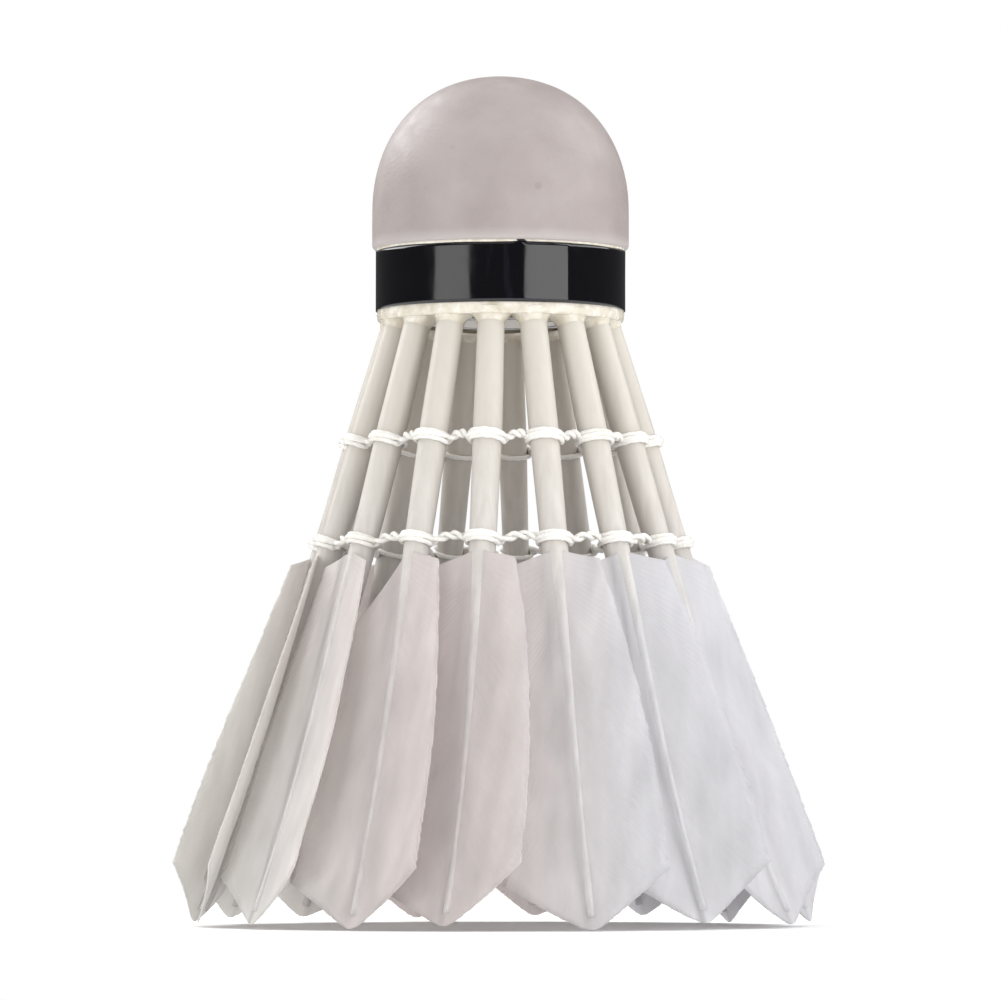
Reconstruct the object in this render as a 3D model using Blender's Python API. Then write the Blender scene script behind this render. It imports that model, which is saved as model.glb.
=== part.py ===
"""Feather badminton shuttlecock, standing on its sixteen feather tips with the cork up.

The frame is in metres. The origin is on the axis, in the plane of the feather tips.
+Z points to the cork, and the front of the part faces -Y.
Every part is glued or tied to its neighbour, so nothing moves and there are no joints.
"""

import math

import bmesh
import bpy
from mathutils import Matrix, Vector

MM = 0.001

# Heights above the feather tips
TOTAL_HEIGHT = 86.0 * MM
CORK_FACE_Z = 61.2 * MM
UPPER_THREAD_Z = 48.5 * MM
LOWER_THREAD_Z = 38.3 * MM

# Cork, its cover, the tape band and the label
CORK_RADIUS = 12.4 * MM
DOME_HEIGHT = 13.6 * MM
DOME_POWER = 2.15
DOME_STEPS = 9
COVER_THICKNESS = 0.55 * MM
BAND_RISE = 1.0 * MM
BAND_HEIGHT = 6.0 * MM
BAND_THICKNESS = 0.2 * MM
COVER_TO_BAND = 0.2 * MM
LABEL_RADIUS = 7.5 * MM
LABEL_THICKNESS = 0.25 * MM
LABEL_GAP = 0.05 * MM
BOND_GAP = 0.1 * MM
ROUND_SEGMENTS = 48

# Feathers
FEATHER_COUNT = 16
FIRST_FEATHER_ANGLE = math.radians(-5.0)
QUILL_CIRCLE_RADIUS = 10.6 * MM
SKIRT_SLOPE = 0.307
TIP_FLARE = 2.1 * MM
SOCKET_DEPTH = 9.0 * MM
QUILL_SIDES = 8
# height of the centreline and radius of the quill there, from its tip to its root in the cork
QUILL_OUTLINE = (
    (1.2 * MM, 0.40 * MM),
    (8.0 * MM, 0.62 * MM),
    (20.0 * MM, 0.90 * MM),
    (30.0 * MM, 1.15 * MM),
    (LOWER_THREAD_Z, 1.35 * MM),
    (50.0 * MM, 1.48 * MM),
    (CORK_FACE_Z, 1.35 * MM),
    (CORK_FACE_Z + SOCKET_DEPTH, 1.05 * MM),
)
VANE_THICKNESS = 0.35 * MM
VANE_TOP_Z = 37.0 * MM
VANE_WIDEST = 8.0 * MM
VANE_TOP_HALF_WIDTH = 3.9 * MM
VANE_WIDEST_SHARE = 0.15
# each vane's right edge, seen from outside, lies outside its neighbour
VANE_TWIST = math.radians(16.0)
# curve across the vane: its rise is this times the distance from the quill squared, in metres
VANE_CURL = 18.0
VANE_LIFT_SHARE = 0.3
TIP_SLOPE = 0.625
TIP_ROUNDING = 0.8 * MM
VANE_TOP_SLOPE = 0.6
VANE_COLUMNS = 6
VANE_ROWS = 8

# Thread rows
THREAD_RADIUS = 0.5 * MM
THREAD_SLEEVE_WALL = 0.55 * MM
THREAD_SLEEVE_HEIGHT = 1.3 * MM
THREAD_SEGMENTS = 32
THREAD_SIDES = 6

SHARP_ANGLE = math.radians(35.0)


def clear_scene():
    for obj in list(bpy.data.objects):
        bpy.data.objects.remove(obj, do_unlink=True)


def linear(channel):
    """An sRGB channel from 0 to 1 as the linear value that a shader takes."""
    if channel <= 0.04045:
        return channel / 12.92
    return ((channel + 0.055) / 1.055) ** 2.4


def make_material(name, srgb, roughness):
    material = bpy.data.materials.new(name)
    material.use_nodes = True
    shader = material.node_tree.nodes["Principled BSDF"]
    shader.inputs["Base Color"].default_value = (*(linear(c) for c in srgb), 1.0)
    shader.inputs["Roughness"].default_value = roughness
    shader.inputs["Metallic"].default_value = 0.0
    return material


def add_object(name, mesh, material=None):
    obj = bpy.data.objects.new(name, mesh)
    bpy.context.scene.collection.objects.link(obj)
    if material:
        mesh.materials.clear()
        mesh.materials.append(material)
        mesh.shade_smooth()
        mesh.set_sharp_from_angle(angle=SHARP_ANGLE)
    return obj


def mesh_from(name, bm):
    bmesh.ops.recalc_face_normals(bm, faces=bm.faces)
    mesh = bpy.data.meshes.new(name)
    bm.to_mesh(mesh)
    bm.free()
    return mesh


def add_helper(name, bm):
    """A cutter or a piece to join: kept out of renders and drawn as wire."""
    helper = add_object(name, mesh_from(name, bm))
    helper.hide_render = True
    helper.display_type = "WIRE"
    return helper


def add_boolean(obj, other, operation):
    modifier = obj.modifiers.new(other.name, "BOOLEAN")
    modifier.operation = operation
    modifier.object = other
    modifier.solver = "EXACT"


def turned_mesh(name, outline, closed=False):
    """Spins an outline of (radius, height) points round Z. An open outline starts and ends on the axis."""
    bm = bmesh.new()
    verts = [bm.verts.new((radius, 0.0, z)) for radius, z in outline]
    ends = zip(verts, verts[1:] + verts[:1]) if closed else zip(verts, verts[1:])
    edges = [bm.edges.new(pair) for pair in ends]
    bmesh.ops.spin(
        bm,
        geom=verts + edges,
        cent=(0.0, 0.0, 0.0),
        axis=(0.0, 0.0, 1.0),
        angle=math.tau,
        steps=ROUND_SEGMENTS,
        use_merge=True,
    )
    bmesh.ops.remove_doubles(bm, verts=bm.verts, dist=0.001 * MM)
    return mesh_from(name, bm)


def dome_outline(radius, top_z, height):
    """Points of a slightly squared dome, from its top on the axis down to its full radius."""
    points = [(0.0, top_z)]
    for step in range(1, DOME_STEPS):
        turn = math.pi / 2 * step / DOME_STEPS
        across = math.sin(turn) ** (2 / DOME_POWER)
        up = math.cos(turn) ** (2 / DOME_POWER)
        points.append((radius * across, top_z - height + height * up))
    points.append((radius, top_z - height))
    return points


def skirt_radius(z):
    """Distance from the axis to a quill's centreline: a cone that flares a little towards the tips."""
    drop = CORK_FACE_Z - z
    share = drop / CORK_FACE_Z
    return QUILL_CIRCLE_RADIUS + SKIRT_SLOPE * drop + TIP_FLARE * share**6


def skirt_outward(z):
    """Unit vector out of the skirt, square to the front quill's centreline, at a height."""
    share = (CORK_FACE_Z - z) / CORK_FACE_Z
    flare_slope = 6 * TIP_FLARE * share**5 / CORK_FACE_Z
    return Vector((0.0, -1.0, SKIRT_SLOPE + flare_slope)).normalized()


def quill_centre(z):
    return Vector((0.0, -skirt_radius(z), z))


def quill_radius(z):
    """The quill's radius at a height, read along its outline."""
    for (z0, r0), (z1, r1) in zip(QUILL_OUTLINE, QUILL_OUTLINE[1:]):
        if z <= z1:
            share = max(0.0, (z - z0) / (z1 - z0))
            return r0 + share * (r1 - r0)
    return QUILL_OUTLINE[-1][1]


def feather_angle(index):
    return FIRST_FEATHER_ANGLE + math.tau * index / FEATHER_COUNT


def add_quill_shape(bm, sections, turn=0.0):
    """A tapered round bar along the front quill's line, turned about Z, through (height, radius) sections."""
    spin = Matrix.Rotation(turn, 3, "Z")
    rings = []
    for z, radius in sections:
        outward = skirt_outward(z)
        ring = []
        for side in range(QUILL_SIDES):
            angle = math.tau * (side + 0.5) / QUILL_SIDES
            offset = Vector((math.cos(angle), 0.0, 0.0)) + math.sin(angle) * outward
            ring.append(bm.verts.new(spin @ (quill_centre(z) + radius * offset)))
        rings.append(ring)
    for low, high in zip(rings, rings[1:]):
        for side in range(QUILL_SIDES):
            after = (side + 1) % QUILL_SIDES
            bm.faces.new((low[side], low[after], high[after], high[side]))
    bm.faces.new(rings[0][::-1])
    bm.faces.new(rings[-1])


def vane_half_width(share):
    """Half the vane's width at a share of its length from the tip: widest near the tip, narrow at the top."""
    past_widest = (share - VANE_WIDEST_SHARE) / (1 - VANE_WIDEST_SHARE)
    return VANE_WIDEST - (VANE_WIDEST - VANE_TOP_HALF_WIDTH) * past_widest**2


def vane_point(side, share):
    """A point of the vane's middle surface: side is -1 to 1 across it, share 0 at the tip to 1 at the top."""
    across = side * vane_half_width(share)
    reach = math.hypot(across, TIP_ROUNDING) - TIP_ROUNDING
    tip_droop = VANE_THICKNESS / 2 * abs(skirt_outward(0.0).z)
    bottom = tip_droop + TIP_SLOPE * reach
    top = VANE_TOP_Z - VANE_TOP_SLOPE * abs(across)
    z = bottom + share * (top - bottom)
    outward = skirt_outward(z)
    across_direction = Vector((math.cos(VANE_TWIST), 0.0, 0.0)) + math.sin(VANE_TWIST) * outward
    vane_normal = Vector((-math.sin(VANE_TWIST), 0.0, 0.0)) + math.cos(VANE_TWIST) * outward
    lift = VANE_LIFT_SHARE * quill_radius(z) * min(1.0, z / QUILL_OUTLINE[1][0])
    return quill_centre(z) + across * across_direction + (lift + VANE_CURL * across**2) * vane_normal


def vane_sheet():
    bm = bmesh.new()
    rows = []
    for row in range(VANE_ROWS + 1):
        share = row / VANE_ROWS
        sides = (2 * column / VANE_COLUMNS - 1 for column in range(VANE_COLUMNS + 1))
        rows.append([bm.verts.new(vane_point(side, share)) for side in sides])
    for low, high in zip(rows, rows[1:]):
        for column in range(VANE_COLUMNS):
            bm.faces.new((low[column], low[column + 1], high[column + 1], high[column]))
    return mesh_from("vane", bm)


def feather_mesh():
    """One feather at the front: a thin twisted vane joined to its tapered quill."""
    vane = add_object("vane", vane_sheet())
    solidify = vane.modifiers.new("thickness", "SOLIDIFY")
    solidify.thickness = VANE_THICKNESS
    solidify.offset = 0.0
    solidify.use_even_offset = True
    bm = bmesh.new()
    add_quill_shape(bm, QUILL_OUTLINE)
    quill = add_helper("quill", bm)
    add_boolean(vane, quill, "UNION")
    evaluated = vane.evaluated_get(bpy.context.evaluated_depsgraph_get())
    mesh = bpy.data.meshes.new_from_object(evaluated)
    mesh.name = "feather"
    bpy.data.objects.remove(vane, do_unlink=True)
    bpy.data.objects.remove(quill, do_unlink=True)
    return mesh


def add_feathers(material):
    mesh = feather_mesh()
    for index in range(FEATHER_COUNT):
        feather = add_object(f"feather_{index + 1:02d}", mesh, material)
        feather.rotation_euler.z = feather_angle(index)


def quill_clearance(name, low_z, high_z):
    """Sixteen bars a bond gap wider than the quills, between two heights, to cut their passages."""
    heights = [z for z, _ in QUILL_OUTLINE if low_z < z < high_z]
    sections = [(z, quill_radius(z) + BOND_GAP) for z in (low_z, *heights, high_z)]
    bm = bmesh.new()
    for index in range(FEATHER_COUNT):
        add_quill_shape(bm, sections, feather_angle(index))
    return add_helper(name, bm)


def add_cork_base(material):
    top_z = TOTAL_HEIGHT - COVER_THICKNESS - BOND_GAP
    inner_dome_height = DOME_HEIGHT - COVER_THICKNESS - BOND_GAP
    outline = dome_outline(CORK_RADIUS, top_z, inner_dome_height)
    outline += [(CORK_RADIUS, CORK_FACE_Z), (0.0, CORK_FACE_Z)]
    cork = add_object("cork_base", turned_mesh("cork_base", outline), material)
    below_face = CORK_FACE_Z - 2 * MM
    socket_end = CORK_FACE_Z + SOCKET_DEPTH + BOND_GAP
    sockets = quill_clearance("quill_sockets", below_face, socket_end)
    add_boolean(cork, sockets, "DIFFERENCE")


def add_leather_cover(material):
    inner_radius = CORK_RADIUS + BOND_GAP
    outer_radius = inner_radius + COVER_THICKNESS
    edge_z = CORK_FACE_Z + BAND_RISE + BAND_HEIGHT + COVER_TO_BAND
    outer = dome_outline(outer_radius, TOTAL_HEIGHT, DOME_HEIGHT)
    inner = dome_outline(
        inner_radius, TOTAL_HEIGHT - COVER_THICKNESS, DOME_HEIGHT - COVER_THICKNESS
    )
    rounding = COVER_THICKNESS / 4
    edge = [
        (outer_radius, edge_z + rounding),
        (outer_radius - rounding, edge_z),
        (inner_radius, edge_z),
    ]
    add_object("leather_cover", turned_mesh("leather_cover", outer + edge + inner[::-1]), material)


def add_tape_band(material):
    inner_radius = CORK_RADIUS + BOND_GAP
    outer_radius = inner_radius + BAND_THICKNESS
    low_z = CORK_FACE_Z + BAND_RISE
    high_z = low_z + BAND_HEIGHT
    outline = [
        (inner_radius, high_z),
        (outer_radius, high_z),
        (outer_radius, low_z),
        (inner_radius, low_z),
    ]
    add_object("tape_band", turned_mesh("tape_band", outline, closed=True), material)


def add_face_label(material):
    high_z = CORK_FACE_Z - LABEL_GAP
    low_z = high_z - LABEL_THICKNESS
    outline = [(0.0, high_z), (LABEL_RADIUS, high_z), (LABEL_RADIUS, low_z), (0.0, low_z)]
    add_object("face_label", turned_mesh("face_label", outline), material)


def thread_ring_mesh(name, height):
    """The thread's closed loop through the quills' centres, level at one height."""
    bm = bmesh.new()
    loop_radius = skirt_radius(height)
    rings = []
    for segment in range(THREAD_SEGMENTS):
        around = FIRST_FEATHER_ANGLE + math.tau * segment / THREAD_SEGMENTS
        outward = Vector((math.sin(around), -math.cos(around), 0.0))
        ring = []
        for side in range(THREAD_SIDES):
            angle = math.tau * side / THREAD_SIDES
            radius = loop_radius + THREAD_RADIUS * math.cos(angle)
            z = height + THREAD_RADIUS * math.sin(angle)
            ring.append(bm.verts.new(radius * outward + Vector((0.0, 0.0, z))))
        rings.append(ring)
    for here, after in zip(rings, rings[1:] + rings[:1]):
        for side in range(THREAD_SIDES):
            other = (side + 1) % THREAD_SIDES
            bm.faces.new((here[side], here[other], after[other], after[side]))
    return mesh_from(name, bm)


def thread_sleeves(name, height):
    """The turns of thread wrapped round each quill, as solid bars that the quills' passages open later."""
    half = THREAD_SLEEVE_HEIGHT / 2
    sections = [
        (z, quill_radius(z) + BOND_GAP + THREAD_SLEEVE_WALL) for z in (height - half, height + half)
    ]
    bm = bmesh.new()
    for index in range(FEATHER_COUNT):
        add_quill_shape(bm, sections, feather_angle(index))
    return add_helper(name, bm)


def add_thread_row(name, height, material):
    row = add_object(name, thread_ring_mesh(name, height), material)
    add_boolean(row, thread_sleeves(f"{name}_sleeves", height), "UNION")
    reach = 3 * THREAD_SLEEVE_HEIGHT
    passages = quill_clearance(f"{name}_passages", height - reach, height + reach)
    add_boolean(row, passages, "DIFFERENCE")


def main():
    clear_scene()
    cork = make_material("cork", (0.74, 0.60, 0.44), 0.85)
    leather = make_material("leather", (0.75, 0.71, 0.69), 0.55)
    tape = make_material("tape", (0.03, 0.03, 0.04), 0.2)
    feather = make_material("feather", (0.87, 0.84, 0.82), 0.6)
    thread = make_material("thread", (0.88, 0.86, 0.82), 0.7)
    label = make_material("label", (0.90, 0.89, 0.86), 0.6)
    add_cork_base(cork)
    add_leather_cover(leather)
    add_tape_band(tape)
    add_feathers(feather)
    add_thread_row("thread_row_upper", UPPER_THREAD_Z, thread)
    add_thread_row("thread_row_lower", LOWER_THREAD_Z, thread)
    add_face_label(label)


main()
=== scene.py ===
"""Looks of a feather shuttlecock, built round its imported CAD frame.

Each feather is shown as a quill and a vane, a thin sheet with its barbs in relief. Each thread row is a pair of
strands wound round every quill. Lengths are in metres, +Z points to the cork, and the front faces -Y.
"""

import math
import random
from collections import namedtuple

import bpy
import numpy as np
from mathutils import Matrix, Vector


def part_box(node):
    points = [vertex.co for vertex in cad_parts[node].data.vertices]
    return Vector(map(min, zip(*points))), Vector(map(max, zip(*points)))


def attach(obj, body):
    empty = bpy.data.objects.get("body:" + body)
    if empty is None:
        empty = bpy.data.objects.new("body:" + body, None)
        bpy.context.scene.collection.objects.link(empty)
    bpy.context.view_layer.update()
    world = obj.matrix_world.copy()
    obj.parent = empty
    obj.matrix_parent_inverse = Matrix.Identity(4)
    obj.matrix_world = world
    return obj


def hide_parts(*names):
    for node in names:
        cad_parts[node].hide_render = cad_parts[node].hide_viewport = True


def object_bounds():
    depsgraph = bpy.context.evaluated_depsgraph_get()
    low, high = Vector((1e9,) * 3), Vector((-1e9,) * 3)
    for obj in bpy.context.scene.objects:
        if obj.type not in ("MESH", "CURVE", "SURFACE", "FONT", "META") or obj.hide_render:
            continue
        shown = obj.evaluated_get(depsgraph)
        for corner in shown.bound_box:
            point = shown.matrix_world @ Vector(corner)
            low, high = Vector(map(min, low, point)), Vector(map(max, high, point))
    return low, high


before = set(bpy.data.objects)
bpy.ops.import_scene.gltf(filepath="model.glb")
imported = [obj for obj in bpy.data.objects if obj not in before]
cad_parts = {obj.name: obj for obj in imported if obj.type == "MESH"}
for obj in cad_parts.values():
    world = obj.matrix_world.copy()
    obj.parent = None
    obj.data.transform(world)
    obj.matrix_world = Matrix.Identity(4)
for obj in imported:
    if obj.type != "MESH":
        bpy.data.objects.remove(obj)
CAD_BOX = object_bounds()

MM = 0.001

# Heights and radii read from the frame
TOTAL_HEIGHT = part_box("leather_cover")[1].z
CORK_FACE_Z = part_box("cork_base")[0].z
COVER_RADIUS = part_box("leather_cover")[1].x
COVER_EDGE_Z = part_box("leather_cover")[0].z
BAND_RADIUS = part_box("tape_band")[1].x
BAND_LOW_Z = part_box("tape_band")[0].z
BAND_HIGH_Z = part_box("tape_band")[1].z
LABEL_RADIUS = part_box("face_label")[1].x
LABEL_LOW_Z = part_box("face_label")[0].z
LABEL_HIGH_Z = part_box("face_label")[1].z

# The skirt's line and the vane's outline, as in the CAD
FEATHER_COUNT = 16
FIRST_FEATHER_ANGLE = math.radians(-5.0)
QUILL_CIRCLE_RADIUS = 10.6 * MM
SKIRT_SLOPE = 0.307
TIP_FLARE = 2.1 * MM
UPPER_THREAD_Z = 48.5 * MM
LOWER_THREAD_Z = 38.3 * MM
QUILL_HEIGHTS = np.array((1.2, 8.0, 20.0, 30.0, 38.3, 50.0, 61.2, 70.2)) * MM
QUILL_RADII = np.array((0.40, 0.62, 0.90, 1.15, 1.35, 1.48, 1.35, 1.05)) * MM
VANE_TOP_Z = 37.0 * MM
VANE_WIDEST = 8.0 * MM
VANE_TOP_HALF_WIDTH = 3.9 * MM
VANE_WIDEST_SHARE = 0.15
VANE_CURL = 18.0
TIP_SLOPE = 0.625
TIP_ROUNDING = 0.8 * MM

# Vane detail
BARB_SPACING = 0.42 * MM
ROWS_PER_BARB = 3
BARB_POINTS = 11
BARB_RELIEF = 0.03 * MM
BARB_END_JITTER = 0.10 * MM
CUT_JITTER = 0.02 * MM
BARB_SLOPE = 1.45
BARB_BOW = 0.10
VANE_THICKNESS = 0.14 * MM
VANE_LIFT_SHARE = 0.84
WAVE_HEIGHT = 0.24 * MM
TIP_CLEARANCE = 0.14 * MM
VANE_GLOW = 0.42
# The painted shadow beside the quill: how many quill radii to its left it lies, and how wide it is
SHADOW_OFFSET = 1.16
SHADOW_WIDTH = 0.40 * MM

# Quill detail
QUILL_SIDES = 20
QUILL_RINGS = 84
QUILL_TOP_Z = CORK_FACE_Z + 0.4 * MM
GROOVE_DEPTH = 0.16

# Thread detail
STRAND_RADIUS = 0.25 * MM
STRAND_SIDES = 8
STRAND_STEP = 0.16 * MM
STRAND_PLY_RELIEF = 0.08
STRAND_PLY_PITCH = 1.1 * MM
STRAND_NEST = 0.20 * MM
BRIDGE_TURNS = 1.5
BRIDGE_ARCH = 0.45 * MM

ROUND_SEGMENTS = 160

# The floor is solid under the object and fades out between these distances
FLOOR_CLEAR = 0.10
FLOOR_REACH = 0.26


def feather_angle(index):
    return FIRST_FEATHER_ANGLE + math.tau * index / FEATHER_COUNT


# What sets each feather apart: how far its tip leans round the skirt and how far its vane is twisted, in
# degrees, how many millimetres its point is trimmed short, how steeply the left side of its top edge falls,
# and how dark the painted shadow beside its quill is. The seven seen from the front are set, from the left
# round to the right, and stay clear of one another. The others vary by a seeded random choice.
Habit = namedtuple("Habit", "lean twist trim left_slope line")
TOP_EDGE_SLOPE = 0.30
FRONT_FEATHERS = {
    13: Habit(-2.5, 13.0, 0.4, TOP_EDGE_SLOPE, 0.4),
    14: Habit(-1.4, 11.0, 0.4, TOP_EDGE_SLOPE, 1.0),
    15: Habit(0.0, 13.0, 0.1, 1.30, 0.3),
    0: Habit(-5.0, 18.0, 0.4, TOP_EDGE_SLOPE, 0.4),
    1: Habit(-1.0, 16.0, 0.0, TOP_EDGE_SLOPE, 0.5),
    2: Habit(0.2, 16.0, 0.6, TOP_EDGE_SLOPE, 1.0),
    3: Habit(5.1, 13.0, 0.3, 0.50, 0.4),
}


def feather_habit(index):
    if index in FRONT_FEATHERS:
        return FRONT_FEATHERS[index]
    chance = random.Random(100 + index)
    lean, twist = chance.uniform(-2.0, 2.0), chance.uniform(13.0, 17.0)
    trim, left_slope = chance.uniform(0.0, 0.6), chance.uniform(TOP_EDGE_SLOPE, 0.6)
    return Habit(lean, twist, trim, left_slope, chance.uniform(0.2, 0.8))


# ---------------------------------------------------------------- the skirt's line


def skirt_radius(z):
    drop = CORK_FACE_Z - z
    share = drop / CORK_FACE_Z
    return QUILL_CIRCLE_RADIUS + SKIRT_SLOPE * drop + TIP_FLARE * share**6


def skirt_slope(z):
    share = (CORK_FACE_Z - z) / CORK_FACE_Z
    return SKIRT_SLOPE + 6 * TIP_FLARE * share**5 / CORK_FACE_Z


def quill_radius(z):
    return np.interp(z, QUILL_HEIGHTS, QUILL_RADII)


def skirt_points(index, z, across, outwards, twist=0.0):
    """Points of one feather in the row frame: across and outwards are offsets from its quill's centreline."""
    lean = math.radians(feather_habit(index).lean)
    share = np.clip((CORK_FACE_Z - z) / CORK_FACE_Z, 0.0, 1.0)
    angle = feather_angle(index) + lean * share**2
    slope = skirt_slope(z)
    length = np.hypot(1.0, slope)
    out_y, out_z = -1.0 / length, slope / length
    sideways = across * math.cos(twist) - outwards * math.sin(twist)
    out = across * math.sin(twist) + outwards * math.cos(twist)
    x = sideways
    y = -skirt_radius(z) + out * out_y
    height = z + out * out_z
    cos, sin = np.cos(angle), np.sin(angle)
    return np.stack((cos * x - sin * y, sin * x + cos * y, height), axis=-1)


# ---------------------------------------------------------------- meshes


def add_piece(name, vertices, faces, material, node=None):
    """A smooth-shaded piece of the object that rides on the root body."""
    mesh = bpy.data.meshes.new(name)
    mesh.from_pydata(np.asarray(vertices, float).reshape(-1, 3).tolist(), [], faces)
    mesh.validate()
    mesh.shade_smooth()
    mesh.materials.append(material)
    piece = bpy.data.objects.new(name, mesh)
    bpy.context.scene.collection.objects.link(piece)
    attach(piece, "root")
    if node:
        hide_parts(node)
    return piece


def grid_faces(rows, columns, wrap=False):
    """Quads of a grid of rows and columns. A wrapped grid joins its last column to its first."""
    last = columns if wrap else columns - 1
    faces = []
    for row in range(rows - 1):
        for column in range(last):
            after = (column + 1) % columns
            low, high = row * columns, (row + 1) * columns
            faces.append((low + column, low + after, high + after, high + column))
    return faces


def add_attribute(mesh, name, values):
    layer = mesh.attributes.new(name, "FLOAT", "POINT")
    layer.data.foreach_set("value", np.asarray(values, np.float32).ravel())


def turned(outline, segments):
    """(vertices, faces) of an outline of (radius, height) points turned about Z."""
    around = np.linspace(0.0, math.tau, segments, endpoint=False)
    profile = np.array(outline)
    x = profile[:, :1] * np.cos(around)
    y = profile[:, :1] * np.sin(around)
    z = np.repeat(profile[:, 1:], segments, axis=1)
    return np.stack((x, y, z), axis=-1), grid_faces(len(outline), segments, wrap=True)


def weld(piece):
    """Joins the coincident points where two halves meet, where an outline closes and at a pole on the axis."""
    modifier = piece.modifiers.new("weld", "WELD")
    modifier.merge_threshold = 0.001 * MM


# ---------------------------------------------------------------- materials


def linear(channel):
    """An sRGB channel from 0 to 1 as the linear value that a shader takes."""
    if channel <= 0.04045:
        return channel / 12.92
    return ((channel + 0.055) / 1.055) ** 2.4


def colour(*srgb):
    return (*(linear(c / 255.0) for c in srgb), 1.0)


class Surface:
    """A node material under construction, with the few node patterns that these materials share."""

    def __init__(self, name, roughness, base):
        self.material = bpy.data.materials.new(name)
        self.material.use_nodes = True
        self.nodes = self.material.node_tree.nodes
        self.links = self.material.node_tree.links
        self.shader = self.nodes["Principled BSDF"]
        self.shader.inputs["Roughness"].default_value = roughness
        self.shader.inputs["Base Color"].default_value = base
        self.place = self.nodes.new("ShaderNodeTexCoord").outputs["Object"]

    def noise(self, scale, detail=4.0, stretch=(1.0, 1.0, 1.0)):
        """Noise from 0 to 1. The scale is in features per metre."""
        mapping = self.nodes.new("ShaderNodeMapping")
        mapping.inputs["Scale"].default_value = stretch
        self.links.new(self.place, mapping.inputs["Vector"])
        texture = self.nodes.new("ShaderNodeTexNoise")
        texture.inputs["Scale"].default_value = scale
        texture.inputs["Detail"].default_value = detail
        self.links.new(mapping.outputs["Vector"], texture.inputs["Vector"])
        return texture.outputs["Fac"]

    def cells(self, scale):
        """Distance to the nearest of randomly scattered points, in cell widths."""
        texture = self.nodes.new("ShaderNodeTexVoronoi")
        texture.inputs["Scale"].default_value = scale
        self.links.new(self.place, texture.inputs["Vector"])
        return texture.outputs["Distance"]

    def attribute(self, name):
        node = self.nodes.new("ShaderNodeAttribute")
        node.attribute_name = name
        return node.outputs["Fac"]

    def across(self):
        """The point's distance to the right of the middle."""
        split = self.nodes.new("ShaderNodeSeparateXYZ")
        self.links.new(self.place, split.inputs["Vector"])
        return split.outputs["X"]

    def darkened(self, value, share):
        """Another node's colour, darkened to a share of itself."""
        node = self.nodes.new("ShaderNodeVectorMath")
        node.operation = "SCALE"
        node.inputs["Scale"].default_value = share
        self.links.new(value, node.inputs["Vector"])
        return node.outputs["Vector"]

    def fit(self, value, low, high, to_low=0.0, to_high=1.0):
        """Value carried from low..high to to_low..to_high, held inside that range."""
        node = self.nodes.new("ShaderNodeMapRange")
        for socket, number in (
            ("From Min", low),
            ("From Max", high),
            ("To Min", to_low),
            ("To Max", to_high),
        ):
            node.inputs[socket].default_value = number
        self.links.new(value, node.inputs["Value"])
        return node.outputs["Result"]

    def blend(self, share, first, second):
        """A colour between two others, each a fixed colour or another node's output."""
        node = self.nodes.new("ShaderNodeMix")
        node.data_type = "RGBA"
        self.links.new(share, node.inputs["Factor"])
        for name, value in (("A", first), ("B", second)):
            socket = next(s for s in node.inputs if s.name == name and s.type == "RGBA")
            if isinstance(value, tuple):
                socket.default_value = value
            else:
                self.links.new(value, socket)
        return next(s for s in node.outputs if s.type == "RGBA")

    def bump(self, height, strength, distance):
        node = self.nodes.new("ShaderNodeBump")
        node.inputs["Strength"].default_value = strength
        node.inputs["Distance"].default_value = distance
        self.links.new(height, node.inputs["Height"])
        if self.shader.inputs["Normal"].is_linked:
            previous = self.shader.inputs["Normal"].links[0].from_socket
            self.links.new(previous, node.inputs["Normal"])
        self.links.new(node.outputs["Normal"], self.shader.inputs["Normal"])

    def paint(self, value):
        self.links.new(value, self.shader.inputs["Base Color"])

    def gloss(self, value):
        self.links.new(value, self.shader.inputs["Roughness"])

    def let_light_through(self, share, tint_and_painted_light):
        """Mixes in light that passes through from the other side, as a thin vane lets it."""
        translucent = self.nodes.new("ShaderNodeBsdfTranslucent")
        self.links.new(tint_and_painted_light, translucent.inputs["Color"])
        mix = self.nodes.new("ShaderNodeMixShader")
        mix.inputs["Fac"].default_value = share
        output = self.nodes["Material Output"]
        self.links.new(self.shader.outputs["BSDF"], mix.inputs[1])
        self.links.new(translucent.outputs["BSDF"], mix.inputs[2])
        self.links.new(mix.outputs["Shader"], output.inputs["Surface"])


def leather_material():
    """Pale, slightly pink imitation leather with a fine grain, a few specks and a paler band along its lower
    edge.
    """
    surface = Surface("leather", 0.5, colour(164, 154, 152))
    broad = surface.fit(surface.noise(120.0), 0.35, 0.65)
    mottled = surface.blend(broad, colour(157, 147, 145), colour(170, 160, 158))
    speck = surface.fit(surface.cells(330.0), 0.10, 0.16, 1.0, 0.0)
    patch = surface.fit(surface.noise(90.0, 2.0), 0.56, 0.66)
    rare = surface.nodes.new("ShaderNodeMath")
    rare.operation = "MULTIPLY"
    surface.links.new(speck, rare.inputs[0])
    surface.links.new(patch, rare.inputs[1])
    specked = surface.blend(rare.outputs[0], mottled, colour(132, 121, 119))
    rim = surface.fit(surface.attribute("rim"), 0.0, 1.0, 0.0, 0.65)
    surface.paint(surface.blend(rim, specked, colour(196, 190, 188)))
    surface.gloss(surface.fit(surface.noise(700.0), 0.3, 0.7, 0.42, 0.60))
    surface.bump(surface.cells(2600.0), 0.35, 0.05 * MM)
    surface.bump(surface.noise(5200.0, 2.0), 0.25, 0.02 * MM)
    return surface.material


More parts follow.
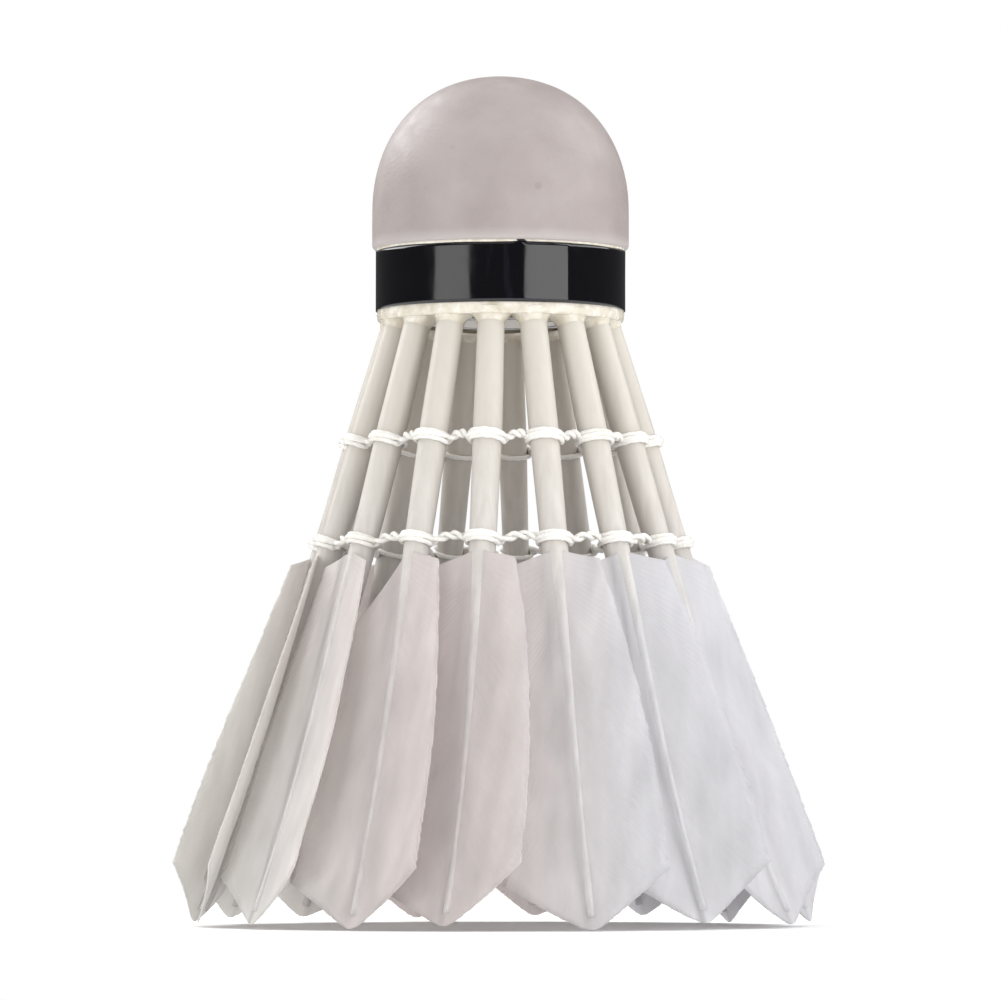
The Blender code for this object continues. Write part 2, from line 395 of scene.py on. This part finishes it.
def tape_material():
    """Glossy black tape with faint ripples along it and fine scuffs that dull it."""
    surface = Surface("tape", 0.12, colour(8, 8, 13))
    scuffs = surface.fit(surface.noise(900.0, 6.0, (1.0, 1.0, 0.12)), 0.58, 0.78)
    surface.paint(surface.blend(scuffs, colour(7, 7, 12), colour(26, 26, 34)))
    surface.gloss(surface.fit(surface.noise(420.0, 5.0), 0.35, 0.7, 0.07, 0.16))
    surface.shader.inputs["Specular IOR Level"].default_value = 0.7
    surface.bump(surface.noise(160.0, 2.0, (1.0, 1.0, 2.2)), 0.25, 0.10 * MM)
    return surface.material


def feather_tint_and_painted_light(surface):
    """The tint, softly changing from neutral on the left to warm in the middle and cool on the right. The
    neutral far left is painted lighter than the rest: painted light that brightens that side.
    """
    across = surface.across()
    painted_light_from_left = surface.fit(across, -26.0 * MM, -10.0 * MM)
    to_right = surface.fit(across, 0.0, 14.0 * MM)
    # Painted light: the far left's neutral colour is lighter than the middle's, to brighten that side of the
    # object.
    painted_lit_left_warm_middle = surface.blend(painted_light_from_left, colour(242, 240, 237), colour(233, 226, 224))
    return surface.blend(to_right, painted_lit_left_warm_middle, colour(232, 231, 234))


def quill_material():
    """Horn with long fine striations, in the vane's tint beside it, painted light included, and ivory towards
    the root.
    """
    surface = Surface("quill", 0.36, colour(208, 203, 197))
    tint_and_painted_light = feather_tint_and_painted_light(surface)
    grain = surface.fit(surface.noise(1500.0, 4.0, (1.0, 1.0, 0.05)), 0.3, 0.7)
    horn = surface.blend(grain, colour(194, 189, 183), colour(208, 204, 199))
    up = surface.attribute("up")
    rooted = surface.blend(surface.fit(up, 0.55, 1.0), horn, colour(204, 198, 188))
    # Painted light carried over: the quill beside the vane takes the vane's tint, lighter on the left side.
    pale = surface.blend(grain, surface.darkened(tint_and_painted_light, 0.62), surface.darkened(tint_and_painted_light, 0.72))
    surface.paint(surface.blend(surface.fit(up, 0.45, 0.62, 1.0, 0.0), rooted, pale))
    surface.gloss(surface.fit(grain, 0.0, 1.0, 0.30, 0.46))
    surface.bump(grain, 0.3, 0.03 * MM)
    return surface.material


def vane_material():
    """A feather vane: barbs that differ in tone, streaks along the feather, a painted shadow on the left of the
    quill and painted light on the object's left side, from the tint.
    """
    surface = Surface("vane", 0.62, colour(232, 229, 227))
    tint_and_painted_light = feather_tint_and_painted_light(surface)
    streaks = surface.fit(surface.noise(520.0, 5.0, (1.0, 1.0, 0.06)), 0.32, 0.68)
    streaked = surface.blend(streaks, surface.darkened(tint_and_painted_light, 0.80), tint_and_painted_light)
    barb = surface.fit(surface.attribute("barb_tone"), 0.0, 1.0, 0.0, 0.5)
    toned = surface.blend(barb, streaked, surface.darkened(tint_and_painted_light, 0.90))
    # Painted shadow: the vane is darkened just left of its quill, as if the quill shaded it.
    line = surface.fit(surface.attribute("quill_painted_shadow"), 0.0, 1.0, 0.0, 0.85)
    surface.paint(surface.blend(line, toned, surface.darkened(tint_and_painted_light, 0.55)))
    surface.gloss(surface.fit(streaks, 0.0, 1.0, 0.52, 0.70))
    surface.bump(surface.noise(3600.0, 3.0, (1.0, 1.0, 0.35)), 0.2, 0.02 * MM)
    surface.let_light_through(VANE_GLOW, tint_and_painted_light)
    return surface.material


def thread_material():
    """White cotton thread under a thin coat of clear glue."""
    surface = Surface("thread", 0.5, colour(240, 238, 233))
    fibre = surface.fit(surface.noise(5200.0, 4.0), 0.3, 0.7)
    dirty = surface.fit(surface.noise(260.0, 3.0), 0.52, 0.72, 0.0, 0.6)
    threads = surface.blend(fibre, colour(229, 226, 220), colour(246, 244, 240))
    surface.paint(surface.blend(dirty, threads, colour(222, 216, 205)))
    surface.bump(fibre, 0.4, 0.03 * MM)
    surface.shader.inputs["Coat Weight"].default_value = 0.45
    surface.shader.inputs["Coat Roughness"].default_value = 0.18
    return surface.material


def glue_material():
    """Dried clear glue: milky, smooth and glossy."""
    surface = Surface("glue", 0.2, colour(226, 220, 206))
    cloud = surface.fit(surface.noise(900.0, 4.0), 0.3, 0.7)
    surface.paint(surface.blend(cloud, colour(206, 197, 178), colour(234, 230, 220)))
    surface.gloss(surface.fit(cloud, 0.0, 1.0, 0.12, 0.34))
    surface.bump(surface.noise(1400.0, 2.0), 0.3, 0.05 * MM)
    return surface.material


def cork_material():
    """Pressed cork: tan granules with dark pores between them."""
    surface = Surface("cork", 0.85, colour(200, 168, 128))
    grains = surface.fit(surface.noise(900.0, 6.0), 0.3, 0.7)
    tan = surface.blend(grains, colour(184, 148, 108), colour(216, 188, 150))
    pores = surface.fit(surface.cells(1500.0), 0.10, 0.24, 1.0, 0.0)
    surface.paint(surface.blend(pores, tan, colour(120, 86, 58)))
    surface.bump(surface.cells(1500.0), 0.5, 0.15 * MM)
    return surface.material


def label_material():
    """Uncoated off-white paper with a plain printed ring."""
    surface = Surface("label", 0.7, colour(232, 230, 224))
    fibres = surface.fit(surface.noise(2400.0, 6.0), 0.3, 0.7)
    paper = surface.blend(fibres, colour(222, 219, 212), colour(238, 236, 231))
    ring = surface.fit(surface.attribute("ring"), 0.4, 0.6)
    surface.paint(surface.blend(ring, paper, colour(92, 112, 150)))
    surface.bump(fibres, 0.3, 0.03 * MM)
    return surface.material


def floor_material():
    """Pale matt paper that fades out with distance. Its underside lets the camera look up through it."""
    surface = Surface("floor", 0.9, (0.93, 0.93, 0.93, 1.0))
    tooth = surface.fit(surface.noise(60.0, 3.0), 0.3, 0.7)
    surface.paint(surface.blend(tooth, (0.92, 0.92, 0.92, 1.0), (0.94, 0.94, 0.94, 1.0)))
    surface.shader.inputs["Specular IOR Level"].default_value = 0.1
    clear = surface.nodes.new("ShaderNodeBsdfTransparent")
    side = surface.nodes.new("ShaderNodeNewGeometry").outputs["Backfacing"]
    distance = surface.nodes.new("ShaderNodeVectorMath")
    distance.operation = "LENGTH"
    surface.links.new(surface.place, distance.inputs[0])
    faded = surface.fit(distance.outputs["Value"], FLOOR_CLEAR, FLOOR_REACH)
    unseen = surface.nodes.new("ShaderNodeMath")
    unseen.operation = "MAXIMUM"
    surface.links.new(side, unseen.inputs[0])
    surface.links.new(faded, unseen.inputs[1])
    mix = surface.nodes.new("ShaderNodeMixShader")
    surface.links.new(unseen.outputs[0], mix.inputs["Fac"])
    surface.links.new(surface.shader.outputs["BSDF"], mix.inputs[1])
    surface.links.new(clear.outputs["BSDF"], mix.inputs[2])
    surface.links.new(mix.outputs["Shader"], surface.nodes["Material Output"].inputs["Surface"])
    return surface.material


# ---------------------------------------------------------------- feathers


def vane_half_width(z):
    """Half the vane's width at a height on the quill's line."""
    past_widest = (z / VANE_TOP_Z - VANE_WIDEST_SHARE) / (1 - VANE_WIDEST_SHARE)
    return VANE_WIDEST - (VANE_WIDEST - VANE_TOP_HALF_WIDTH) * past_widest**2


def vane_bottom(across, trim):
    return trim + TIP_SLOPE * (np.hypot(across, TIP_ROUNDING) - TIP_ROUNDING)


def barb_height(root_z, reach, top_slope):
    """Height of a barb that leaves the quill at root_z, at a distance across the vane."""
    share = np.clip(root_z / VANE_TOP_Z, 0.0, 1.0)
    slope = top_slope + (BARB_SLOPE - top_slope) * (1.0 - share**6)
    bowed = reach * (1.0 + BARB_BOW * (1.0 - reach / VANE_WIDEST))
    return root_z - slope * bowed


def barb_reach(root_z, trim, top_slope):
    """(reach, whether the bottom edge cuts it) of each barb, by bisection on the vane's outline."""
    low, high = np.zeros_like(root_z), np.full_like(root_z, VANE_WIDEST * 1.05)
    for _ in range(24):
        middle = (low + high) / 2
        z = barb_height(root_z, middle, top_slope)
        inside = (middle < vane_half_width(z)) & (z > vane_bottom(middle, trim))
        low, high = np.where(inside, middle, low), np.where(inside, high, middle)
    end_z = barb_height(root_z, low, top_slope)
    return low, end_z < vane_bottom(low, trim) + 0.05 * MM


def vane_waves(chance):
    """A gentle random ripple of the vane as a function of height and distance across."""
    waves = []
    for _ in range(5):
        along = chance.uniform(90.0, 420.0)
        sideways = chance.uniform(-260.0, 260.0)
        waves.append((along, sideways, chance.uniform(0.0, math.tau), chance.uniform(0.3, 1.0)))

    def ripple(z, across):
        total = sum(size * np.sin(along * z + side * across + turn) for along, side, turn, size in waves)
        return WAVE_HEIGHT * total / len(waves) * np.abs(across) / VANE_WIDEST

    return ripple


def vane_side(index, side, ripple, chance):
    """(points, barb tones, painted shadow beside the quill) of the vane on one side of its quill, as rows of
    barbs.
    """
    habit = feather_habit(index)
    trim = TIP_CLEARANCE + habit.trim * MM
    top_slope = habit.left_slope if side < 0 else TOP_EDGE_SLOPE
    barbs = int((VANE_TOP_Z - trim) / BARB_SPACING)
    rows = barbs * ROWS_PER_BARB + 1
    roots = np.linspace(trim, VANE_TOP_Z, rows)
    jitter = np.array([chance.uniform(-1.0, 1.0) for _ in range(barbs + 1)])
    tones = np.array([chance.random() for _ in range(barbs + 1)])
    barb = np.arange(rows) // ROWS_PER_BARB
    reach, trimmed = barb_reach(roots, trim, top_slope)
    reach = np.maximum(reach + np.where(trimmed, CUT_JITTER, BARB_END_JITTER) * jitter[barb], 0.0)
    share = np.linspace(0.0, 1.0, BARB_POINTS)
    across = reach[:, None] * share[None, :]
    z = barb_height(roots[:, None], across, top_slope)
    crest = np.cos(math.tau * (np.arange(rows) % ROWS_PER_BARB) / ROWS_PER_BARB)[:, None]
    relief = BARB_RELIEF * crest * np.minimum(1.0, across / (1.5 * MM))
    lift = VANE_LIFT_SHARE * quill_radius(z) * np.minimum(1.0, z / QUILL_HEIGHTS[1])
    outwards = lift + VANE_CURL * across**2 + ripple(z, side * across) + relief
    points = skirt_points(index, z, side * across, outwards, math.radians(habit.twist))
    # Painted shadow: a soft dark stripe just left of the quill, on the left half of the vane only.
    line = np.exp(-(((across - SHADOW_OFFSET * quill_radius(z)) / SHADOW_WIDTH) ** 2))
    line *= habit.line if side < 0 else 0.0
    return points, np.repeat(tones[barb][:, None], BARB_POINTS, axis=1), line


def add_vane(index, material):
    chance = random.Random(index + 1)
    ripple = vane_waves(chance)
    vertices, faces, tones, painted_shadows = [], [], [], []
    for side in (-1.0, 1.0):
        points, tone, line = vane_side(index, side, ripple, chance)
        start = len(vertices)
        vertices.extend(points.reshape(-1, 3))
        quads = grid_faces(*points.shape[:2])
        ordered = quads if side > 0 else [q[::-1] for q in quads]
        faces.extend(tuple(start + corner for corner in quad) for quad in ordered)
        tones.extend(tone.ravel())
        painted_shadows.extend(line.ravel())
    name = f"vane_{index + 1:02d}"
    vane = add_piece(name, vertices, faces, material, f"feather_{index + 1:02d}")
    add_attribute(vane.data, "barb_tone", tones)
    add_attribute(vane.data, "quill_painted_shadow", painted_shadows)
    weld(vane)
    solidify = vane.modifiers.new("thickness", "SOLIDIFY")
    solidify.thickness = VANE_THICKNESS
    solidify.offset = 0.0


def quill_section(z):
    """(angles, shares of the radius) of the quill's section: round by the cork, grooved inside the vane."""
    angle = np.linspace(0.0, math.tau, QUILL_SIDES, endpoint=False)
    inwards = np.maximum(0.0, -np.sin(angle)) ** 6
    outwards = np.maximum(0.0, np.sin(angle)) ** 8
    in_vane = np.clip((VANE_TOP_Z + 4 * MM - z) / (10 * MM), 0.0, 1.0)
    squared = 1.0 + 0.05 * in_vane * np.cos(4 * angle)
    return angle, squared * (1.0 - GROOVE_DEPTH * in_vane * inwards + 0.05 * in_vane * outwards)


def add_quill(index, material):
    low_z = QUILL_HEIGHTS[0] + TIP_CLEARANCE + feather_habit(index).trim * MM
    heights = np.linspace(low_z, QUILL_TOP_Z, QUILL_RINGS)
    vertices = []
    for z in heights:
        angle, shape = quill_section(z)
        radius = quill_radius(z) * shape
        across, outwards = radius * np.cos(angle), radius * np.sin(angle)
        vertices.append(skirt_points(index, np.full(QUILL_SIDES, z), across, outwards))
    faces = grid_faces(QUILL_RINGS, QUILL_SIDES, wrap=True)
    faces.append(tuple(reversed(range(QUILL_SIDES))))
    faces.append(tuple(range((QUILL_RINGS - 1) * QUILL_SIDES, QUILL_RINGS * QUILL_SIDES)))
    quill = add_piece(f"quill_{index + 1:02d}", vertices, faces, material)
    add_attribute(quill.data, "up", np.repeat(heights / CORK_FACE_Z, QUILL_SIDES))


def add_feathers():
    vane, quill = vane_material(), quill_material()
    for index in range(FEATHER_COUNT):
        add_vane(index, vane)
        add_quill(index, quill)


# ---------------------------------------------------------------- thread rows


def quill_frame(index, z):
    """(centre, across, outward, upward) of a quill at a height, as unit vectors in the row frame."""
    centre = skirt_points(index, np.array([z]), np.zeros(1), np.zeros(1))[0]
    across = skirt_points(index, np.array([z]), np.ones(1), np.zeros(1))[0] - centre
    outward = skirt_points(index, np.array([z]), np.zeros(1), np.ones(1))[0] - centre
    return centre, across, outward, np.cross(across, outward)


def wrap_points(index, z, turns, low, high, extra):
    """A strand's path round a quill from its left side to its right side, over the front."""
    centre, across, outward, upward = quill_frame(index, z)
    radius = float(quill_radius(z)) + STRAND_RADIUS + extra
    steps = max(8, int(turns * math.tau * radius / STRAND_STEP))
    points = []
    for step in range(steps + 1):
        share = step / steps
        angle = math.pi - turns * math.tau * share
        rise = low + share * (high - low)
        reach = radius * (math.cos(angle) * across + math.sin(angle) * outward)
        points.append(centre + reach + rise * upward)
    return points


def bridge_points(index, z, side):
    """A strand's path to the next quill, wound round its partner. Side 1 starts above it and -1 below."""
    centre, across, _, upward = quill_frame(index, z)
    after_centre, after_across, _, after_upward = quill_frame((index + 1) % FEATHER_COUNT, z)
    reach = float(quill_radius(z)) + STRAND_RADIUS
    start = centre + reach * across + STRAND_RADIUS * upward
    end = after_centre - reach * after_across - STRAND_RADIUS * after_upward
    length = np.linalg.norm(end - start)
    along = (end - start) / length
    level_up = np.array((0.0, 0.0, 1.0))
    outward = np.cross(along, level_up)
    steps = max(8, int(1.6 * length / STRAND_STEP))
    points = []
    for step in range(1, steps):
        share = step / steps
        turn = math.tau * BRIDGE_TURNS * share
        middle = start + share * (end - start) + BRIDGE_ARCH * math.sin(math.pi * share) * level_up
        points.append(middle + side * STRAND_RADIUS * (math.cos(turn) * level_up + math.sin(turn) * outward))
    return points


def strand_path(z, turns, rise, nest, side):
    """The closed path of one strand round all the quills of a row."""
    path = []
    for index in range(FEATHER_COUNT):
        path.extend(wrap_points(index, z, turns, -rise, rise, nest))
        path.extend(bridge_points(index, z, side))
    return np.array(path)


def tube(path, radius, ply_pitch):
    """(vertices, faces) of a closed round tube with a two-ply twist in its surface."""
    ahead = np.roll(path, -1, axis=0) - np.roll(path, 1, axis=0)
    ahead /= np.linalg.norm(ahead, axis=1)[:, None]
    upward = np.array((0.0, 0.0, 1.0))
    side = np.cross(ahead, upward)
    side /= np.maximum(np.linalg.norm(side, axis=1), 1e-6)[:, None]
    top = np.cross(side, ahead)
    travelled = np.cumsum(np.linalg.norm(np.roll(path, -1, axis=0) - path, axis=1))
    around = np.linspace(0.0, math.tau, STRAND_SIDES, endpoint=False)
    ply_turn = math.tau * travelled[:, None] / (2 * ply_pitch)
    ply = 1.0 + STRAND_PLY_RELIEF * np.cos(2 * (around[None, :] - ply_turn))
    reach = (radius * ply)[..., None]
    ring = np.cos(around)[None, :, None] * side[:, None, :] + np.sin(around)[None, :, None] * top[:, None, :]
    vertices = path[:, None, :] + reach * ring
    closed = np.concatenate((vertices, vertices[:1]))
    return closed, grid_faces(len(closed), STRAND_SIDES, wrap=True)


def add_thread_row(name, z, node, material):
    """Strand A goes one and a half times round each quill. B crosses its front once, between A's turns."""
    strands = {
        "a": strand_path(z, 1.5, 2 * STRAND_RADIUS, 0.0, 1.0),
        "b": strand_path(z, 0.5, 0.0, STRAND_NEST, -1.0),
    }
    for letter, path in strands.items():
        vertices, faces = tube(path, STRAND_RADIUS, STRAND_PLY_PITCH)
        replaced = node if letter == "a" else None
        strand = add_piece(f"{name}_{letter}", vertices, faces, material, replaced)
        weld(strand)


# ---------------------------------------------------------------- cork, cover, band and label


def dome_profile(steps):
    """(radius, height) points of the cover's outside, from the top of the dome down to its lower edge."""
    dome_height = 13.6 * MM
    power = 2.15
    points = [(0.0, TOTAL_HEIGHT)]
    for step in range(1, steps + 1):
        turn = math.pi / 2 * step / steps
        across = math.sin(turn) ** (2 / power)
        up = max(0.0, math.cos(turn)) ** (2 / power)
        points.append((COVER_RADIUS * across, TOTAL_HEIGHT - dome_height + dome_height * up))
    return points


def add_cover():
    """The leather: a dome with a slight turned-in bead at its lower edge and a hint of unevenness."""
    bead = 0.45 * MM
    thickness = 0.5 * MM
    unevenness = 0.05 * MM
    rim_height = 1.3 * MM
    outside = dome_profile(48)
    steps = 10
    wall = np.linspace(outside[-1][1], COVER_EDGE_Z + bead, steps)[1:]
    outside += [(COVER_RADIUS, float(z)) for z in wall]
    rounded = []
    for step in range(1, 9):
        turn = math.pi / 2 * step / 8
        edge_radius = COVER_RADIUS - bead + bead * math.cos(turn)
        rounded.append((edge_radius, COVER_EDGE_Z + bead - bead * math.sin(turn)))
    inner_radius = COVER_RADIUS - thickness
    inside = [(inner_radius, COVER_EDGE_Z + 0.1 * MM), (inner_radius, COVER_EDGE_Z + 3 * MM)]
    vertices, faces = turned(outside + rounded + inside, ROUND_SEGMENTS)
    points = vertices.reshape(-1, 3)
    around = np.arctan2(points[:, 1], points[:, 0])
    dent = unevenness * np.sin(3 * around + 260 * points[:, 2]) * np.sin(140 * points[:, 2] + around)
    radius = np.hypot(points[:, 0], points[:, 1])
    scale = 1.0 + np.where(radius > 1 * MM, (dent - unevenness) / np.maximum(radius, 1 * MM), 0.0)
    points[:, :2] *= scale[:, None]
    cover = add_piece("leather_shell", vertices, faces, leather_material(), "leather_cover")
    rim = np.clip(1.0 - (points[:, 2] - COVER_EDGE_Z) / rim_height, 0.0, 1.0)
    add_attribute(cover.data, "rim", rim)
    weld(cover)


def add_band():
    """Glossy tape wound once, with its end lapped over its start and one corner standing above the edge."""
    lap_at = math.radians(-90.0 + 9.0)
    lap_width = math.radians(24.0)
    lap_height = 0.09 * MM
    corner_width = math.radians(1.6)
    corner_height = 0.55 * MM
    inner_share = 0.985
    heights = np.linspace(BAND_LOW_Z, BAND_HIGH_Z, 15)
    segments = 240
    around = np.linspace(0.0, math.tau, segments, endpoint=False)
    lapped = np.where(np.mod(around - lap_at, math.tau) < lap_width, lap_height, 0.0)
    from_corner = np.mod(around - lap_at + math.pi, math.tau) - math.pi
    corner = np.exp(-((from_corner / corner_width) ** 2))
    outer, inner = [], []
    for z in heights:
        wave = 0.015 * MM * np.sin(5 * around + 300 * z) + 0.01 * MM * np.sin(11 * around - 500 * z)
        radius = BAND_RADIUS - 0.05 * MM + lapped + wave
        rise = corner_height * corner * max(0.0, (z - BAND_LOW_Z) / (BAND_HIGH_Z - BAND_LOW_Z)) ** 12
        for rings, reach in ((outer, radius), (inner, inner_share * radius)):
            rings.append(np.stack((reach * np.cos(around), reach * np.sin(around), z + rise), axis=-1))
    rings = outer + inner[::-1] + outer[:1]
    faces = grid_faces(len(rings), segments, wrap=True)
    band = add_piece("tape_wrap", np.array(rings), faces, tape_material(), "tape_band")
    weld(band)


def add_label():
    """The round paper label, with its plain printed ring."""
    ring_place, ring_width = 0.82, 0.05
    radii = np.linspace(0.0, LABEL_RADIUS, 40)
    outline = [(float(r), LABEL_LOW_Z) for r in radii] + [(LABEL_RADIUS, LABEL_HIGH_Z), (0.0, LABEL_HIGH_Z)]
    vertices, faces = turned(outline, 96)
    label = add_piece("paper_label", vertices, faces, label_material(), "face_label")
    points = vertices.reshape(-1, 3)
    radius = np.hypot(points[:, 0], points[:, 1]) / LABEL_RADIUS
    add_attribute(label.data, "ring", np.exp(-(((radius - ring_place) / ring_width) ** 2)))
    weld(label)


def add_root_glue(material):
    """A small fillet of glue round each quill where it enters the cork."""
    rings, sides = 7, 28
    height, width, film = 1.1 * MM, 0.75 * MM, 0.03 * MM
    angle = np.linspace(0.0, math.tau, sides, endpoint=False)
    faces = grid_faces(rings, sides, wrap=True)
    for index in range(FEATHER_COUNT):
        chance = random.Random(500 + index)
        vertices = []
        for ring in range(rings):
            share = ring / (rings - 1)
            z = CORK_FACE_Z - height * share
            uneven = 1.0 + 0.15 * np.sin(2 * angle + chance.uniform(0.0, math.tau))
            radius = float(quill_radius(z)) + film + width * (1.0 - share) ** 2 * uneven
            across, outwards = radius * np.cos(angle), radius * np.sin(angle)
            vertices.append(skirt_points(index, np.full(sides, z), across, outwards))
        add_piece(f"root_glue_{index + 1:02d}", vertices, faces, material)


def add_rim_glue(material):
    """The milky film of glue that covers the cork's rim below the band and the outer part of its face."""
    film = 0.09 * MM
    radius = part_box("cork_base")[1].x
    inner = 0.70 * radius
    rounding = 0.28 * MM
    outline = [(radius + 0.02 * MM, BAND_LOW_Z + 0.3 * MM), (radius + film, BAND_LOW_Z - 0.05 * MM)]
    for step in range(9):
        turn = math.pi / 2 * step / 8
        drop = film - rounding + rounding * math.sin(turn)
        outline.append((radius + film - rounding + rounding * math.cos(turn), CORK_FACE_Z - drop))
    outline += [(inner + 0.3 * MM, CORK_FACE_Z - film), (inner, CORK_FACE_Z - 0.01 * MM)]
    vertices, faces = turned(outline, ROUND_SEGMENTS)
    points = vertices.reshape(-1, 3)
    around = np.arctan2(points[:, 1], points[:, 0])
    points[:, 2] -= 0.02 * MM * (1.0 + np.sin(FEATHER_COUNT * around)) * (points[:, 2] < CORK_FACE_Z)
    add_piece("rim_glue", vertices, faces, material)


def add_edge_glue(material):
    """The bead of glue that closes the narrow gap between the band and the cover."""
    cork_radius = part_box("cork_base")[1].x
    proud = BAND_RADIUS - 0.08 * MM
    overlap = 0.06 * MM
    low, high = BAND_HIGH_Z - overlap, COVER_EDGE_Z + overlap
    outline = [(cork_radius, low)]
    for step in range(7):
        share = step / 6
        bulge = 0.05 * MM * math.sin(math.pi * share)
        outline.append((proud + bulge, low + share * (high - low)))
    outline.append((cork_radius, high))
    vertices, faces = turned(outline, ROUND_SEGMENTS)
    add_piece("edge_glue", vertices, faces, material)


def finish_cork():
    """The CAD cork stays, with cork in place of its plain colour."""
    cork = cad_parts["cork_base"]
    cork.data.materials.clear()
    cork.data.materials.append(cork_material())


# ---------------------------------------------------------------- studio


def add_softbox(name, azimuth, elevation, distance, size, power):
    """An area light aimed at the middle of the object. Azimuth 0 is in front and 90 is on the right."""
    turn, up = math.radians(azimuth), math.radians(elevation)
    target = Vector((0.0, 0.0, TOTAL_HEIGHT / 2))
    away = Vector((math.sin(turn) * math.cos(up), -math.cos(turn) * math.cos(up), math.sin(up)))
    data = bpy.data.lights.new(name, "AREA")
    data.shape = "RECTANGLE"
    data.size, data.size_y = size
    data.energy = power
    light = bpy.data.objects.new(name, data)
    light.location = target + distance * away
    light.rotation_euler = (-away).to_track_quat("-Z", "Y").to_euler()
    bpy.context.scene.collection.objects.link(light)


def add_lights():
    """Two low boxes in front, one overhead, and one high behind on either side."""
    add_softbox("softbox_left", -45.0, 4.0, 0.60, (0.37, 0.50), 1.12)
    add_softbox("softbox_right", 44.0, 4.0, 0.60, (0.48, 0.50), 1.80)
    add_softbox("softbox_top", 0.0, 80.0, 0.70, (0.90, 0.90), 1.8)
    add_softbox("softbox_high_left", -128.0, 38.0, 0.70, (0.60, 0.40), 3.6)
    add_softbox("softbox_high_right", 105.0, 42.0, 0.70, (0.60, 0.40), 2.2)


def add_world():
    """White where the camera looks straight at it, a soft fill on matt surfaces and dim in reflections."""
    world = bpy.data.worlds.new("studio")
    world.use_nodes = True
    nodes, links = world.node_tree.nodes, world.node_tree.links
    path = nodes.new("ShaderNodeLightPath")
    shown = nodes["Background"]
    shown.inputs["Color"].default_value = (1.0, 1.0, 1.0, 1.0)
    shown.inputs["Strength"].default_value = 0.62
    output = shown.outputs["Background"]
    for ray, strength in (("Is Glossy Ray", 0.08), ("Is Camera Ray", 1.0)):
        background = nodes.new("ShaderNodeBackground")
        background.inputs["Color"].default_value = (1.0, 1.0, 1.0, 1.0)
        background.inputs["Strength"].default_value = strength
        mix = nodes.new("ShaderNodeMixShader")
        links.new(path.outputs[ray], mix.inputs["Fac"])
        links.new(output, mix.inputs[1])
        links.new(background.outputs["Background"], mix.inputs[2])
        output = mix.outputs["Shader"]
    links.new(output, nodes["World Output"].inputs["Surface"])
    bpy.context.scene.world = world


def add_floor():
    """The paper floor, level with the lowest point of the CAD."""
    half = 1.2 * FLOOR_REACH
    corners = [(-half, -half), (half, -half), (half, half), (-half, half)]
    mesh = bpy.data.meshes.new("floor")
    mesh.from_pydata([(x, y, CAD_BOX[0].z) for x, y in corners], [], [(0, 1, 2, 3)])
    mesh.materials.append(floor_material())
    floor = bpy.data.objects.new("floor", mesh)
    bpy.context.scene.collection.objects.link(floor)


def add_camera():
    """Just above the feather tips, looking slightly up from the distance of a hand-held picture."""
    distance = 0.65
    height = 11.0 * MM
    fill = 0.85
    low, high = CAD_BOX
    middle = Vector((0.0, 0.0, (low.z + high.z) / 2))
    data = bpy.data.cameras.new("camera")
    data.sensor_width = 36.0
    data.lens = data.sensor_width * distance * fill / (high.z - low.z)
    camera = bpy.data.objects.new("camera", data)
    camera.location = Vector((0.0, -distance, height))
    camera.rotation_euler = (middle - camera.location).to_track_quat("-Z", "Y").to_euler()
    bpy.context.scene.collection.objects.link(camera)
    bpy.context.scene.camera = camera


def main():
    bpy.context.scene.view_settings.view_transform = "Standard"
    add_camera()
    add_world()
    add_lights()
    add_floor()
    finish_cork()
    add_cover()
    add_band()
    add_label()
    add_feathers()
    thread = thread_material()
    add_thread_row("upper_thread", UPPER_THREAD_Z, "thread_row_upper", thread)
    add_thread_row("lower_thread", LOWER_THREAD_Z, "thread_row_lower", thread)
    glue = glue_material()
    add_rim_glue(glue)
    add_edge_glue(glue)
    add_root_glue(glue)


main()
